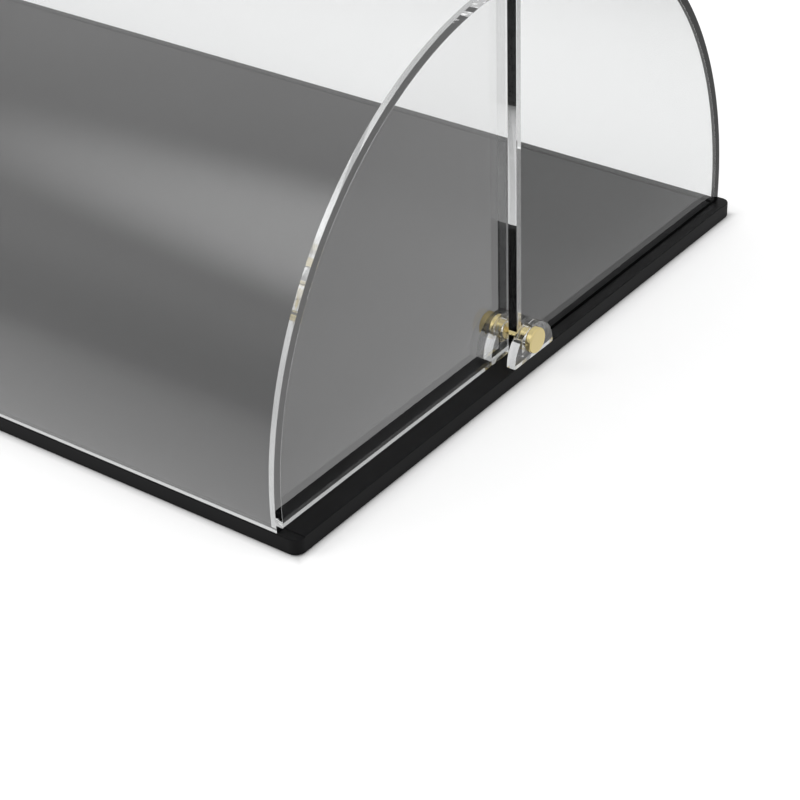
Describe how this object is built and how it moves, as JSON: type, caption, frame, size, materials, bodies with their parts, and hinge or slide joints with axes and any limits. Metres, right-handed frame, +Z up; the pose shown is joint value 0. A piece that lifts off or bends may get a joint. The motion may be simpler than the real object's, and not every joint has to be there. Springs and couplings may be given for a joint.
{
  "type": "countertop bread display bin",
  "caption": "Clear roll-top display bin on a black base plate: two nested quarter-round covers lift about one brass hinge axis to open the front or the back.",
  "frame": {"origin": "middle of the footprint, on the surface that the bin stands on", "axes": "+X to the bin's right end along the hinge axis, -Y to the front, where the smaller cover is, +Z up"},
  "size_m": [0.6072, 0.355, 0.1986],
  "materials": {
    "black_acrylic": "black acrylic plate, satin top, polished edges",
    "clear_acrylic": "clear acrylic sheet, polished edges",
    "brass": "turned and polished brass",
    "rubber": "matt black rubber",
    "nylon": "natural nylon"
  },
  "bodies": {
    "base": {"base_plate": "black_acrylic", "foot_front_left": "rubber", "foot_front_right": "rubber", "foot_back_left": "rubber", "foot_back_right": "rubber", "outer_lug_left": "clear_acrylic", "outer_lug_right": "clear_acrylic", "inner_lug_left": "clear_acrylic", "inner_lug_right": "clear_acrylic", "hinge_pin_left": "brass", "hinge_pin_right": "brass", "hinge_knob_left": "brass", "hinge_knob_right": "brass", "hinge_barrel_left": "brass", "hinge_barrel_right": "brass", "hinge_washer_left": "nylon", "hinge_washer_right": "nylon"},
    "front_cover": {"front_sheet": "clear_acrylic", "front_end_left": "clear_acrylic", "front_end_right": "clear_acrylic"},
    "back_cover": {"back_sheet": "clear_acrylic", "back_end_left": "clear_acrylic", "back_end_right": "clear_acrylic"}
  },
  "joints": [
    {"name": "front_cover_lift", "type": "hinge", "parent": "base", "child": "front_cover", "pos_m": [0, -0.0065, 0.0186], "axis": [-1, 0, 0], "range_deg": [0, 91.5]},
    {"name": "back_cover_lift", "type": "hinge", "parent": "base", "child": "back_cover", "pos_m": [0, -0.0065, 0.0186], "axis": [1, 0, 0], "range_deg": [0, 91.5]}
  ]
}
